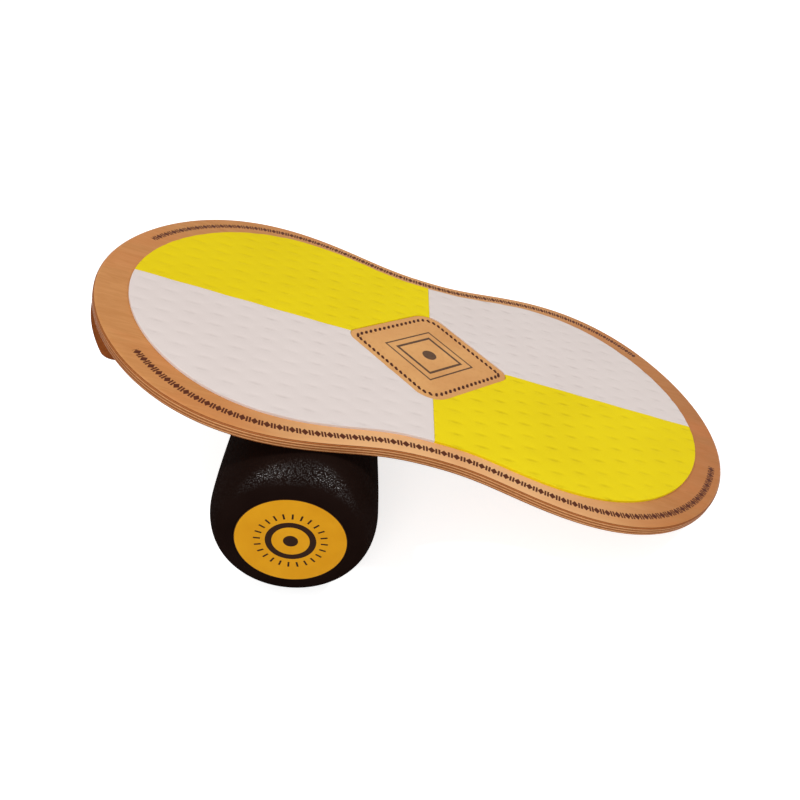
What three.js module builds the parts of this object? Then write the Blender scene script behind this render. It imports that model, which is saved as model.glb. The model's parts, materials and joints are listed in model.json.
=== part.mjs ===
import * as THREE from 'three';

// Rola bola: a peanut-shaped plywood deck that lies over a loose bone-shaped roller.
// Lengths are millimetres. +Z is up, +X runs toward the deck's low end, +Y along the roller
// away from its near label. The low end rests on the floor, as the board waits for its rider.

// Clearances
const seatGap = 0.3;
const boreGap = 0.3;
const rollingGap = 0.3;
const seamGap = 0.5;

// Stance
const deckTilt = THREE.MathUtils.degToRad(18);

// Deck outline
const deckLength = 770;
const deckWaist = 370;
const deckLobeReach = 300.5;
const lobeTrimShares = [-0.008, 0.006];
const outlineSteps = 104;

// Deck build-up
const plyCount = 9;
const plyThickness = 1.28;
const glueLine = 0.3;
const rimRound = 4.2;

// Foam pads
const padLength = 698;
const padWaist = 320;
const padLobeReach = 259;
const padThickness = 3;
const padBevel = 0.8;

// Diamond patch in the middle of the pads
const patchLength = 208;
const patchWidth = 193;
const patchThickness = 1.8;
const patchBevel = 0.5;
const patchTipRound = 14;
const patchSideRound = 28;
const patchGap = 0.4;
const patchCornerSteps = 6;

// End stops under the deck
const stopHeight = 16;
const stopWidth = 30;
const stopSpan = 252;
const stopSetback = 0.8;
const stopRound = 3;
const stopEdgeShares = [0, 0.5, 1];
const stopCurveSteps = 14;
const stopTipSteps = 7;

// Screws that hold the stops
const screwLength = 22;
const screwShankRadius = 1.9;
const screwHeadRadius = 4;
const screwHeadDepth = 2.4;
const screwHeadRecess = 0.6;
const screwSocketRadius = 1.6;
const screwSocketDepth = 1.4;
const screwTipLength = 4;
const screwSpread = 170;
const screwSides = 10;

// Roller
const rollerLength = 490;
const rollerDiameter = 173.2;
const rollerWaistDiameter = 162;
const rollerFaceDiameter = 130;
const rollerEndRound = 43;
const rollerTaper = 170;
const rollerWall = 4;
const rollerSides = 56;
const endRoundSteps = 8;
const barrelSteps = 6;
const hollowRoundSteps = 4;
const hollowBarrelSteps = 3;

// Round labels sunk in the roller's end faces
const labelDiameter = 114.7;
const labelThickness = 1;
const labelBevel = 0.3;

// Vent plug in the far end face
const ventRadius = 7;
const plugReach = 5;
const plugSides = 20;
const plugBevel = 1;

// Sizes that follow
const deckThickness = plyCount * plyThickness + (plyCount - 1) * glueLine;
const rollerRadius = rollerDiameter / 2;
const stopDepth = seatGap + stopHeight;
const labelRecess = labelThickness + seatGap;

const finishes = {
  paleVeneer: { color: 0xd9a877, roughness: 0.5 },
  darkVeneer: { color: 0x9a5a30, roughness: 0.6 },
  stopWood: { color: 0x9c6039, roughness: 0.55 },
  yellowFoam: { color: 0xe6d219, roughness: 0.75 },
  whiteFoam: { color: 0xdcd3cf, roughness: 0.75 },
  tanLeather: { color: 0xd29b60, roughness: 0.6 },
  steel: { color: 0x9b9a96, roughness: 0.35, metalness: 0.9 },
  blackPlastic: { color: 0x17130f, roughness: 0.45 },
  labelFilm: { color: 0xda9b28, roughness: 0.4 },
  greyPlastic: { color: 0x2c2a28, roughness: 0.5 }
};

function piece(name, geometry, finish) {
  const mesh = new THREE.Mesh(geometry, new THREE.MeshStandardMaterial(finishes[finish]));
  mesh.name = name;
  return mesh;
}

// Distance from the centre to a peanut-shaped rim: half the length at the ends, half the
// waist across the middle, and the lobe reach on the diagonals between them
function rimDistance(angle, length, waist, lobeReach) {
  const end = length / 2;
  const side = waist / 2;
  const middle = (end + side) / 2;
  const [thirdShare, fourthShare] = lobeTrimShares;
  const base = (middle + lobeReach) / 2 - end * fourthShare;
  const first = (end - side) / 2 - end * thirdShare;
  const second = (middle - lobeReach) / 2;
  return base + first * Math.cos(2 * angle) + second * Math.cos(4 * angle)
    + end * thirdShare * Math.cos(6 * angle) + end * fourthShare * Math.cos(8 * angle);
}

function rimPoint(angle, length, waist, lobeReach) {
  const reach = rimDistance(angle, length, waist, lobeReach);
  return new THREE.Vector2(reach * Math.cos(angle), reach * Math.sin(angle));
}

function rimLoop(length, waist, lobeReach) {
  const points = [];
  for (let step = 0; step < outlineSteps; step += 1) {
    points.push(rimPoint(2 * Math.PI * step / outlineSteps, length, waist, lobeReach));
  }
  return points;
}

// A loop moved inward by one distance, its corners kept sharp; the loop runs anticlockwise
function insetLoop(points, distance) {
  const count = points.length;
  return points.map((point, index) => {
    const before = point.clone().sub(points[(index + count - 1) % count]).normalize();
    const after = points[(index + 1) % count].clone().sub(point).normalize();
    const inward = new THREE.Vector2(-before.y - after.y, before.x + after.x);
    return point.clone().addScaledVector(inward, distance / (1 + before.dot(after)));
  });
}

function circleLoop(centre, radius, sides) {
  const points = [];
  for (let step = 0; step < sides; step += 1) {
    const angle = 2 * Math.PI * step / sides;
    points.push(new THREE.Vector2(centre.x + radius * Math.cos(angle), centre.y + radius * Math.sin(angle)));
  }
  return points;
}

// A closed slab built from the bottom up. Each level has a height z, an inset of the outline
// and the bore of any holes there
function slab(outline, levels, holes = []) {
  const positions = [];
  const triangles = [];
  const starts = levels.map((level) => {
    const start = positions.length / 3;
    const rings = [insetLoop(outline, level.inset)];
    holes.forEach((centre) => rings.push(circleLoop(centre, level.bore, screwSides)));
    rings.flat().forEach((point) => positions.push(point.x, point.y, level.z));
    return start;
  });
  const ringStarts = [0];
  const ringSizes = [outline.length];
  holes.forEach((centre, index) => {
    ringStarts.push(outline.length + index * screwSides);
    ringSizes.push(screwSides);
  });
  for (let row = 0; row < levels.length - 1; row += 1) {
    ringStarts.forEach((ringStart, ring) => {
      for (let step = 0; step < ringSizes[ring]; step += 1) {
        const next = (step + 1) % ringSizes[ring];
        const low = starts[row] + ringStart;
        const high = starts[row + 1] + ringStart;
        const wall = [low + step, low + next, high + next, low + step, high + next, high + step];
        triangles.push(...(ring === 0 ? wall : wall.reverse()));
      }
    });
  }
  addFace(triangles, outline, levels[0], holes, starts[0], false);
  addFace(triangles, outline, levels[levels.length - 1], holes, starts[levels.length - 1], true);
  const geometry = new THREE.BufferGeometry();
  geometry.setAttribute('position', new THREE.Float32BufferAttribute(positions, 3));
  geometry.setIndex(triangles);
  geometry.computeVertexNormals();
  return geometry;
}

// The flat face at one end of a slab, facing up or down
function addFace(triangles, outline, level, holes, start, facesUp) {
  const contour = insetLoop(outline, level.inset);
  const openings = holes.map((centre) => circleLoop(centre, level.bore, screwSides));
  const points = [contour, ...openings].flat();
  THREE.ShapeUtils.triangulateShape(contour, openings).forEach(([a, b, c]) => {
    const across = points[b].clone().sub(points[a]);
    const turnsLeft = across.cross(points[c].clone().sub(points[a])) > 0;
    const face = turnsLeft === facesUp ? [a, b, c] : [a, c, b];
    triangles.push(...face.map((index) => start + index));
  });
}

// How far the rounded rim of the deck draws in at a height above its underside
function rimInset(height) {
  const toFace = Math.min(height, deckThickness - height);
  const rise = Math.max(rimRound - toFace, 0);
  return rimRound - Math.sqrt(rimRound * rimRound - rise * rise);
}

// The deck's plies, the top one first, with pilot holes as deep as the screws reach
function makePlies(screwPlaces) {
  const outline = rimLoop(deckLength, deckWaist, deckLobeReach);
  const screwReach = screwLength + screwHeadRecess - stopDepth;
  const plies = [];
  for (let count = 1; count <= plyCount; count += 1) {
    const bottom = (plyCount - count) * (plyThickness + glueLine);
    const top = bottom + plyThickness;
    const bore = screwShankRadius + boreGap;
    const levels = [
      { z: bottom, inset: rimInset(bottom), bore },
      { z: top, inset: rimInset(top), bore }
    ];
    const holes = bottom < screwReach + seatGap ? screwPlaces : [];
    const finish = count % 2 === 1 ? 'paleVeneer' : 'darkVeneer';
    plies.push(piece(`deck_ply_${count}`, slab(outline, levels, holes), finish));
  }
  return plies;
}

// The part of a loop in the first quadrant, cut off one gap away from both axes
function quarterArc(loop, gap) {
  const arc = [];
  const inside = (point) => point.x > gap && point.y > gap;
  loop.forEach((point, index) => {
    const before = loop[(index + loop.length - 1) % loop.length];
    if (inside(point) && !inside(before)) {
      arc.push(before.clone().lerp(point, (gap - before.y) / (point.y - before.y)));
    }
    if (!inside(point) && inside(before)) {
      arc.push(before.clone().lerp(point, (gap - before.x) / (point.x - before.x)));
    }
    if (inside(point)) {
      arc.push(point);
    }
  });
  return arc;
}

// Diamond with rounded tips on X and rounder corners on Y
function diamondLoop() {
  const corners = [
    { at: new THREE.Vector2(patchLength / 2, 0), round: patchTipRound },
    { at: new THREE.Vector2(0, patchWidth / 2), round: patchSideRound },
    { at: new THREE.Vector2(-patchLength / 2, 0), round: patchTipRound },
    { at: new THREE.Vector2(0, -patchWidth / 2), round: patchSideRound }
  ];
  const points = [];
  corners.forEach(({ at, round }, index) => {
    const previous = corners[(index + 3) % 4].at;
    const next = corners[(index + 1) % 4].at;
    const back = previous.clone().sub(at).normalize();
    const ahead = next.clone().sub(at).normalize();
    const halfAngle = Math.acos(back.dot(ahead)) / 2;
    const middle = back.clone().add(ahead).normalize();
    const centre = at.clone().addScaledVector(middle, round / Math.sin(halfAngle));
    const sweep = Math.PI - 2 * halfAngle;
    const outward = Math.atan2(-middle.y, -middle.x);
    for (let step = 0; step <= patchCornerSteps; step += 1) {
      const angle = outward + sweep * (step / patchCornerSteps - 1 / 2);
      const reach = new THREE.Vector2(Math.cos(angle), Math.sin(angle));
      points.push(centre.clone().addScaledVector(reach, round));
    }
  });
  return points;
}

// Turned so that the loop starts at the last point before it enters the first quadrant
function fromTip(loop) {
  const start = loop.findIndex((point, index) => {
    const before = loop[(index + loop.length - 1) % loop.length];
    return point.y > 0 && before.y <= 0 && point.x > 0;
  });
  return [...loop.slice(start), ...loop.slice(0, start)];
}

// One quarter of the foam, mirrored into its own corner of the deck
function makePad(name, sideX, sideY, finish) {
  const rim = quarterArc(fromTip(rimLoop(padLength, padWaist, padLobeReach)), seamGap / 2);
  const window = quarterArc(fromTip(insetLoop(diamondLoop(), -patchGap)), seamGap / 2);
  const loop = [...rim, ...window.reverse()];
  const mirrored = loop.map((point) => new THREE.Vector2(sideX * point.x, sideY * point.y));
  const outline = sideX * sideY > 0 ? mirrored : mirrored.reverse();
  const levels = [
    { z: 0, inset: 0 },
    { z: padThickness - padBevel, inset: 0 },
    { z: padThickness, inset: padBevel }
  ];
  const pad = piece(name, slab(outline, levels), finish);
  pad.position.z = deckThickness + seatGap;
  return pad;
}

function makePatch() {
  const levels = [
    { z: 0, inset: 0 },
    { z: patchThickness - patchBevel, inset: 0 },
    { z: patchThickness, inset: patchBevel }
  ];
  const patch = piece('diamond_patch', slab(diamondLoop(), levels), 'tanLeather');
  patch.position.z = deckThickness + seatGap;
  return patch;
}

// A point on the middle line of a stop and the rim's outward direction there
function stopLine(angle) {
  const nudge = Math.PI / outlineSteps;
  const before = rimPoint(angle - nudge, deckLength, deckWaist, deckLobeReach);
  const after = rimPoint(angle + nudge, deckLength, deckWaist, deckLobeReach);
  const along = after.sub(before).normalize();
  const outward = new THREE.Vector2(along.y, -along.x);
  const at = rimPoint(angle, deckLength, deckWaist, deckLobeReach);
  return { at: at.addScaledVector(outward, -stopSetback - stopWidth / 2), outward };
}

// The angle at which the stop's middle line is a given distance from the deck's centre line
function stopAngle(offset) {
  let low = 0;
  let high = Math.PI / 4;
  for (let pass = 0; pass < 40; pass += 1) {
    const middle = (low + high) / 2;
    if (stopLine(middle).at.y < offset) {
      low = middle;
    } else {
      high = middle;
    }
  }
  return low;
}

// A bar bent along the rim, with round tips
function stopLoop() {
  const half = stopWidth / 2;
  const reach = stopAngle(stopSpan / 2 - half);
  const outer = [];
  const inner = [];
  for (let step = 0; step <= stopCurveSteps; step += 1) {
    const line = stopLine(reach * (2 * step / stopCurveSteps - 1));
    outer.push(line.at.clone().addScaledVector(line.outward, half));
    inner.unshift(line.at.clone().addScaledVector(line.outward, -half));
  }
  const tip = (angle) => {
    const line = stopLine(angle);
    const first = Math.atan2(line.outward.y, line.outward.x) + (angle > 0 ? 0 : Math.PI);
    const points = [];
    for (let step = 1; step < stopTipSteps; step += 1) {
      const turn = first + Math.PI * step / stopTipSteps;
      const spoke = new THREE.Vector2(Math.cos(turn), Math.sin(turn));
      points.push(line.at.clone().addScaledVector(spoke, half));
    }
    return points;
  };
  return [...outer, ...tip(reach), ...inner, ...tip(-reach)];
}

// Rings of a stop from its lower face up: a rounded lower edge and countersunk bores
function stopLevels() {
  const bore = screwShankRadius + boreGap;
  const mouth = screwHeadRadius + boreGap;
  const edge = stopEdgeShares.map((share) => {
    const rise = stopRound * (1 - Math.cos(share * Math.PI / 2));
    return { z: rise - stopDepth, inset: stopRound * (1 - Math.sin(share * Math.PI / 2)), bore: mouth };
  });
  const sink = screwHeadRecess + boreGap;
  const cone = Math.max(stopRound, sink) - stopDepth;
  return [
    ...edge,
    { z: cone + screwHeadDepth, inset: 0, bore },
    { z: -seatGap, inset: 0, bore }
  ];
}

function makeStop(name, side, screwPlaces) {
  const stop = piece(name, slab(stopLoop(), stopLevels(), screwPlaces), 'stopWood');
  stop.rotation.z = side > 0 ? 0 : Math.PI;
  return stop;
}

// Screw places along the middle line of the stop at the low end
function screwLine() {
  const spread = stopAngle(screwSpread / 2);
  return [-spread, 0, spread].map((angle) => stopLine(angle).at);
}

// Countersunk wood screw, head down, with a plain driver socket in its head
function screwGeometry() {
  const headTop = Math.max(stopRound, screwHeadRecess + boreGap) - screwHeadRecess;
  const profile = [
    [0, screwSocketDepth],
    [screwSocketRadius, screwSocketDepth],
    [screwSocketRadius, 0],
    [screwHeadRadius, 0],
    [screwHeadRadius, headTop - boreGap],
    [screwShankRadius, headTop - boreGap + screwHeadDepth],
    [screwShankRadius, screwLength - screwTipLength],
    [0, screwLength]
  ];
  return new THREE.LatheGeometry(profile.map(([x, y]) => new THREE.Vector2(x, y)), screwSides);
}

function makeScrews(side, label, places) {
  return places.map((place, index) => {
    const screw = piece(`${label}_stop_screw_${index + 1}`, screwGeometry(), 'steel');
    screw.rotation.x = Math.PI / 2;
    screw.position.set(side * place.x, side * place.y, screwHeadRecess - stopDepth);
    return screw;
  });
}

// Radius of the roller at a distance from its end face: a rounded end, then a barrel that
// narrows to the straight waist
function rollerProfile(fromEnd) {
  const face = rollerFaceDiameter / 2;
  const waist = rollerWaistDiameter / 2;
  if (fromEnd < rollerEndRound) {
    const left = 1 - fromEnd / rollerEndRound;
    return face + (rollerRadius - face) * Math.sqrt(1 - left * left);
  }
  const share = Math.min((fromEnd - rollerEndRound) / rollerTaper, 1);
  return waist + (rollerRadius - waist) * (1 + Math.cos(share * Math.PI)) / 2;
}

// Distances from the end face at which the profile has a ring, as far as the waist
function rollerStations(roundSteps, taperSteps) {
  const stations = [];
  for (let step = 0; step < roundSteps; step += 1) {
    const angle = Math.PI / 2 * step / roundSteps;
    stations.push(rollerEndRound * (1 - Math.cos(angle)));
  }
  for (let step = 0; step <= taperSteps; step += 1) {
    stations.push(rollerEndRound + rollerTaper * step / taperSteps);
  }
  return stations;
}

// One side of the roller's wall from the near end to the far end, drawn in from the outer
// profile, and no closer to the end faces than a depth
function rollerWallLine(stations, drawnIn, endDepth) {
  const half = rollerLength / 2;
  const near = stations.map((fromEnd) => {
    return new THREE.Vector2(rollerProfile(fromEnd) - drawnIn, Math.max(fromEnd, endDepth) - half);
  });
  const far = near.map((point) => new THREE.Vector2(point.x, -point.y));
  return [...near, ...far.reverse()];
}

// Hollow bone-shaped moulding with a sunk face at each end and a vent hole at the far end
function makeRoller() {
  const half = rollerLength / 2;
  const floor = half - labelRecess;
  const seat = labelDiameter / 2 + boreGap;
  const liningDepth = labelRecess + rollerWall;
  const corner = half - liningDepth;
  const outer = rollerWallLine(rollerStations(endRoundSteps, barrelSteps), 0, 0);
  const hollow = rollerStations(hollowRoundSteps, hollowBarrelSteps);
  const inner = rollerWallLine(hollow, rollerWall, liningDepth);
  const profile = [
    new THREE.Vector2(0, -floor),
    new THREE.Vector2(seat, -floor),
    new THREE.Vector2(seat, -half),
    ...outer,
    new THREE.Vector2(seat, half),
    new THREE.Vector2(seat, floor),
    new THREE.Vector2(ventRadius, floor),
    new THREE.Vector2(ventRadius, corner),
    ...inner.reverse(),
    new THREE.Vector2(0, -corner)
  ];
  return piece('roller_shell', new THREE.LatheGeometry(profile, rollerSides), 'blackPlastic');
}

// Round label that fills the sunk end face and lies flush with it
function makeLabel(name, side) {
  const radius = labelDiameter / 2;
  const profile = [
    [0, 0],
    [radius, 0],
    [radius, labelThickness - labelBevel],
    [radius - labelBevel, labelThickness],
    [0, labelThickness]
  ].map(([x, y]) => new THREE.Vector2(x, y));
  const label = piece(name, new THREE.LatheGeometry(profile, rollerSides), 'labelFilm');
  label.rotation.x = side > 0 ? 0 : Math.PI;
  label.position.y = side * (rollerLength / 2 - labelThickness);
  return label;
}

function makePlug() {
  const radius = ventRadius - boreGap;
  const length = rollerWall + plugReach;
  const profile = [
    [0, -length],
    [radius - plugBevel, -length],
    [radius, plugBevel - length],
    [radius, 0],
    [0, 0]
  ].map(([x, y]) => new THREE.Vector2(x, y));
  const plug = piece('vent_plug', new THREE.LatheGeometry(profile, plugSides), 'greyPlastic');
  plug.position.y = rollerLength / 2 - labelRecess;
  return plug;
}

// Where along the deck the roller touches it, so that the low stop just reaches the floor
function contactAlongDeck() {
  const slope = Math.sin(deckTilt);
  const fall = Math.cos(deckTilt);
  const tip = deckLength / 2 - stopSetback;
  const reaches = stopLevels().map((level) => (tip - level.inset) * slope - level.z * fall);
  const rise = rollerRadius + (rollerRadius + rollingGap) * fall;
  return (Math.max(...reaches) - rise) / slope;
}

function makeDeck() {
  const deck = new THREE.Group();
  const places = screwLine();
  const bothEnds = [...places, ...places.map((place) => place.clone().negate())];
  deck.add(...makePlies(bothEnds));
  deck.add(makePad('pad_far_high', -1, 1, 'yellowFoam'));
  deck.add(makePad('pad_near_high', -1, -1, 'whiteFoam'));
  deck.add(makePad('pad_far_low', 1, 1, 'whiteFoam'));
  deck.add(makePad('pad_near_low', 1, -1, 'yellowFoam'));
  deck.add(makePatch());
  deck.add(makeStop('low_end_stop', 1, places), makeStop('high_end_stop', -1, places));
  deck.add(...makeScrews(1, 'low', places), ...makeScrews(-1, 'high', places));
  return deck;
}

function makeAssembly() {
  const assembly = new THREE.Group();
  const roller = new THREE.Group();
  roller.add(makeRoller(), makeLabel('near_label', -1), makeLabel('far_label', 1), makePlug());
  roller.position.z = rollerRadius;
  const deck = makeDeck();
  const contact = contactAlongDeck();
  const gap = rollerRadius + rollingGap;
  deck.rotation.y = deckTilt;
  deck.position.x = gap * Math.sin(deckTilt) - contact * Math.cos(deckTilt);
  deck.position.z = rollerRadius + gap * Math.cos(deckTilt) + contact * Math.sin(deckTilt);
  assembly.add(deck, roller);
  const bounds = new THREE.Box3().setFromObject(assembly, true);
  assembly.position.x = -(bounds.min.x + bounds.max.x) / 2;
  assembly.position.z = -bounds.min.z;
  return assembly;
}

const model = new THREE.Group();
model.add(makeAssembly());

export default model;
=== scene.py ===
import json
import math

import bpy
import numpy as np
from mathutils import Matrix, Vector
from mathutils.geometry import delaunay_2d_cdt


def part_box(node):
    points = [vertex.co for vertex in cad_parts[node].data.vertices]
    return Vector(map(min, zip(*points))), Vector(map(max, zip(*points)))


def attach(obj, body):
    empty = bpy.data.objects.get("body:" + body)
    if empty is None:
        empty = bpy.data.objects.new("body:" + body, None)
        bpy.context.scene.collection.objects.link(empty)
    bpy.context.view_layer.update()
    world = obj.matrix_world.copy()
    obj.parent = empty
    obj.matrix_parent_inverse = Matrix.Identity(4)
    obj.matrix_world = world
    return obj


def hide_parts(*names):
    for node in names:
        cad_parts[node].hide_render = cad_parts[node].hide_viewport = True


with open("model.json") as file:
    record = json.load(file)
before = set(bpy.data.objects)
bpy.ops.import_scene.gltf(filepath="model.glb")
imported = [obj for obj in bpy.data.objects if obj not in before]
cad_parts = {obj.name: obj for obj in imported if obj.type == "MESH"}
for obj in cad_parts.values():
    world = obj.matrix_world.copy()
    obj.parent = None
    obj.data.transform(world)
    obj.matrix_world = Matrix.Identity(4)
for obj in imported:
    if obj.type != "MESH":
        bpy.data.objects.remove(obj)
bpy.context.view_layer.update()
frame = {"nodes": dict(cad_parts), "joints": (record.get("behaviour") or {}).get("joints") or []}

# Rola bola: a peanut-shaped plywood deck with four embossed foam pads and a stitched
# diamond patch, over a bone-shaped roller. Lengths are metres.

# Deck outline and build-up
DECK_LENGTH, DECK_WAIST, DECK_LOBE = 0.770, 0.370, 0.3005
LOBE_TRIM = (-0.008, 0.006)
RIM_STEPS = 416
FACE_RINGS, LEVEL_GAP, GLUE_LEVELS = (0.0005, 0.010, 0.040), 0.00008, (0.2, 0.8)
PLIES, PLY, GLUE = 9, 0.00128, 0.0003
RIM_ROUND, RIM_ROUND_STEP = 0.0042, 10
GLUE_SINK = 0.00010
DECK_THICKNESS = PLIES * PLY + (PLIES - 1) * GLUE
SEAT = 0.0003
SEAM = 0.0002
SEAM_SHIFT = (0.002, 0.004)
QUARTER_MARGIN = 0.02

# Foam pads
PAD_LENGTH, PAD_WAIST, PAD_LOBE = 0.698, 0.320, 0.259
PAD_THICKNESS = 0.003
PAD_EDGE_ROUND = 0.0008
PAD_GRID, PATCH_GRID = 0.0017, 0.0014
EDGE_STEPS = 5
PAD_SPACING, PATCH_SPACING, WINDOW_SPACING = 0.0018, 0.0016, 0.0006
PAD_RIM_TRACE, PAD_RIM_POINTS, PAD_WINDOW_POINTS = 1200, 300, 90
DIMPLE_PITCH = (0.0285, 0.0207)
DIMPLE_HALF = (0.0082, 0.0023)
DIMPLE_DEPTH, DIMPLE_FALL = 0.00055, 1.2
PILLOW = 0.00040
PADS = {
    "pad_far_high": (-1, 1, "yellow", (0.0191, 0.0144)),
    "pad_near_high": (-1, -1, "white", (0.0105, 0.0124)),
    "pad_far_low": (1, 1, "white", (0.0283, 0.0043)),
    "pad_near_low": (1, -1, "yellow", (0.0274, 0.0063)),
}

# Printed border: lozenges between pairs of bars; each side's print runs from x to x
PRINT_PITCH, PRINT_BAR_GAP = 0.0132, 0.0016
LOZENGE_HALF = (0.0039, 0.0046)
BAR_HALF = (0.00105, 0.0039)
PRINT_NEAR, PRINT_FAR = (-0.328, 0.3725), (-0.363, 0.318)
PRINT_DRIFT, PRINT_DRIFT_RUN = 0.0045, (0.12, 0.34)

# Diamond patch
PATCH_LENGTH, PATCH_WIDTH, PATCH_THICKNESS = 0.208, 0.193, 0.0018
PATCH_TIP, PATCH_SIDE, PATCH_GAP = 0.014, 0.028, 0.0004
PATCH_EDGE_ROUND = 0.0005
STITCH_MARGIN, STITCH_PITCH = 0.009, 0.0074
STITCH_LENGTH, STITCH_RADIUS, STITCH_LEAN = 0.0076, 0.0015, 0.70
STITCH_TIP, STITCH_TIP_GROWTH = 0.087, 1.4
STITCH_SIDES, STITCH_STATIONS = 8, 7
STITCH_FLAT, STITCH_WIDE, STITCH_SINK = 0.6, 1.15, 0.0004
CHANNEL_DEPTH, CHANNEL_HALF = 0.00035, 0.0024
CROWN_DROP, CROWN_RUN = 0.00015, 0.02
MOTIF_LINES, MOTIF_DOT = ((0.52, 0.022), (0.38, 0.040)), 0.0085

# End stops and their screws
STOP_HEIGHT, STOP_WIDTH, STOP_SPAN = 0.016, 0.030, 0.252
STOP_SETBACK, STOP_ROUND = 0.0008, 0.003
STOP_NUDGE = math.pi / 104
STOP_CURVE_STEPS, STOP_TIP_STEPS, STOP_ROUND_STEPS = 70, 24, 6
BORE_SIDES, SCREW_SIDES = 28, 40
SCREW_SPREAD = 0.170
SCREW_HEAD, SCREW_SHANK, SCREW_SINK = 0.004, 0.0019, 0.0006
SCREW_CONE, SCREW_LENGTH, SCREW_TIP = 0.0024, 0.022, 0.004
SCREW_EDGE, SCREW_POINT = 0.0003, 0.0002
CROSS_MOUTH, CROSS_FLOOR, CROSS_DEPTH = (0.00042, 0.0021), (0.00030, 0.0012), 0.0013
BORE_GAP, BORE_BEVEL = 0.0003, 0.0006

# Roller
ROLLER_LENGTH, ROLLER_RADIUS, ROLLER_WAIST, ROLLER_FACE = 0.490, 0.0866, 0.081, 0.065
ROLLER_END, ROLLER_TAPER = 0.043, 0.170
ROLLER_SIDES, ROLLER_END_STEP, ROLLER_SIDE_STATIONS = 160, 5, 30
ROLLER_GRAIN, ROLLER_GRAIN_RUN = 0.002, 0.008
LABEL_LIP = 0.0007
LABEL_RADIUS, LABEL_THICKNESS, LABEL_BEVEL = 0.05735, 0.001, 0.0003
DIAL_TICKS, DIAL_TICK_HALF, DIAL_TICK_REACH = 24, 0.0009, (0.0305, 0.0375)
DIAL_RING, DIAL_DOT = (0.0225, 0.0032), (0.0, 0.0075)

# View of the photograph in the deck's frame: position, right and down, lens on 36 mm
CAMERA_AT = (-0.20768, -0.84589, 0.54154)
CAMERA_RIGHT = (0.94811, 0.00599, 0.31788)
CAMERA_DOWN = (0.25823, -0.59777, -0.75894)
CAMERA_LENS, CAMERA_FILM, CAMERA_NEAR = 38.48, 36.0, 0.05


def travel_axis():
    joint = next(j for j in frame["joints"] if j["name"] == "roller_travel")
    return Vector(joint["axis"]).normalized()


def deck_place():
    """Deck frame: x down the slope, z off the top face, origin under the middle."""
    along = travel_axis()
    side = Vector((0, 1, 0))
    up = along.cross(side)
    points = [v.co for v in frame["nodes"]["deck_ply_9"].data.vertices]
    reach = [p.dot(along) for p in points]
    floor = min(p.dot(up) for p in points)
    origin = along * (min(reach) + max(reach)) / 2 + up * floor
    place = Matrix((along, side, up)).transposed().to_4x4()
    place.translation = origin
    return place


DECK = deck_place()
DECK_TILT = math.atan2(-DECK[2][0], DECK[0][0])
low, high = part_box("roller_shell")
ROLLER_AT = (low + high) / 2


# Mesh helpers

def rim_loop(length, waist, reach, steps, first=0.0, last=2 * math.pi, closed=True):
    """Points of a peanut outline between two angles."""
    end, side = length / 2, waist / 2
    middle = (end + side) / 2
    third, fourth = LOBE_TRIM
    angle = np.linspace(first, last, steps, endpoint=not closed)
    radius = ((middle + reach) / 2 - end * fourth
              + ((end - side) / 2 - end * third) * np.cos(2 * angle)
              + (middle - reach) / 2 * np.cos(4 * angle)
              + end * third * np.cos(6 * angle) + end * fourth * np.cos(8 * angle))
    return np.stack([radius * np.cos(angle), radius * np.sin(angle)], 1)


def inset_loop(loop, distance):
    """A closed loop moved inward by a distance."""
    before = loop - np.roll(loop, 1, 0)
    after = np.roll(loop, -1, 0) - loop
    before /= np.linalg.norm(before, axis=1, keepdims=True)
    after /= np.linalg.norm(after, axis=1, keepdims=True)
    inward = np.stack([-before[:, 1] - after[:, 1], before[:, 0] + after[:, 0]], 1)
    return loop + inward * distance / (1 + (before * after).sum(1, keepdims=True))


def resample(line, count):
    """The same open line with evenly spaced points."""
    steps = np.linalg.norm(np.diff(line, axis=0), axis=1)
    run = np.concatenate([[0], np.cumsum(steps)])
    at = np.linspace(0, run[-1], count)
    return np.stack([np.interp(at, run, line[:, k]) for k in range(2)], 1)


def loop_length(loop):
    return np.linalg.norm(np.roll(loop, -1, 0) - loop, axis=1).sum()


def segment_distance(points, loop):
    """Distance of each point from a closed loop."""
    best = np.full(len(points), 1e9)
    ends = np.roll(loop, -1, 0)
    for a, b in zip(loop, ends):
        edge = b - a
        size = max(edge @ edge, 1e-18)
        share = np.clip(((points - a) @ edge) / size, 0, 1)
        near = a + share[:, None] * edge
        best = np.minimum(best, np.linalg.norm(points - near, axis=1))
    return best


def inside_loop(points, loop):
    x, y = points[:, 0], points[:, 1]
    result = np.zeros(len(points), bool)
    ends = np.roll(loop, -1, 0)
    for (ax, ay), (bx, by) in zip(loop, ends):
        if ay == by:
            continue
        crosses = (ay > y) != (by > y)
        result ^= crosses & (x < (bx - ax) * (y - ay) / (by - ay) + ax)
    return result


def new_object(name, points, faces, place=None, smooth=True):
    mesh = bpy.data.meshes.new(name)
    points = np.asarray(points, float)
    if place is not None:
        turn = np.array(place.to_3x3())
        points = points @ turn.T + np.array(place.translation)
    mesh.from_pydata(points.tolist(), [], faces)
    mesh.validate()
    mesh.update()
    mesh.polygons.foreach_set("use_smooth", [smooth] * len(mesh.polygons))
    obj = bpy.data.objects.new(name, mesh)
    bpy.context.scene.collection.objects.link(obj)
    return obj


def bands(rings):
    """Quads between neighbouring rings of one size; ring k starts at vertex k * size."""
    size = len(rings[0])
    faces = []
    for row in range(len(rings) - 1):
        for step in range(size):
            after = (step + 1) % size
            low_row, high_row = row * size, (row + 1) * size
            faces.append((low_row + step, low_row + after, high_row + after, high_row + step))
    return faces


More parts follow.
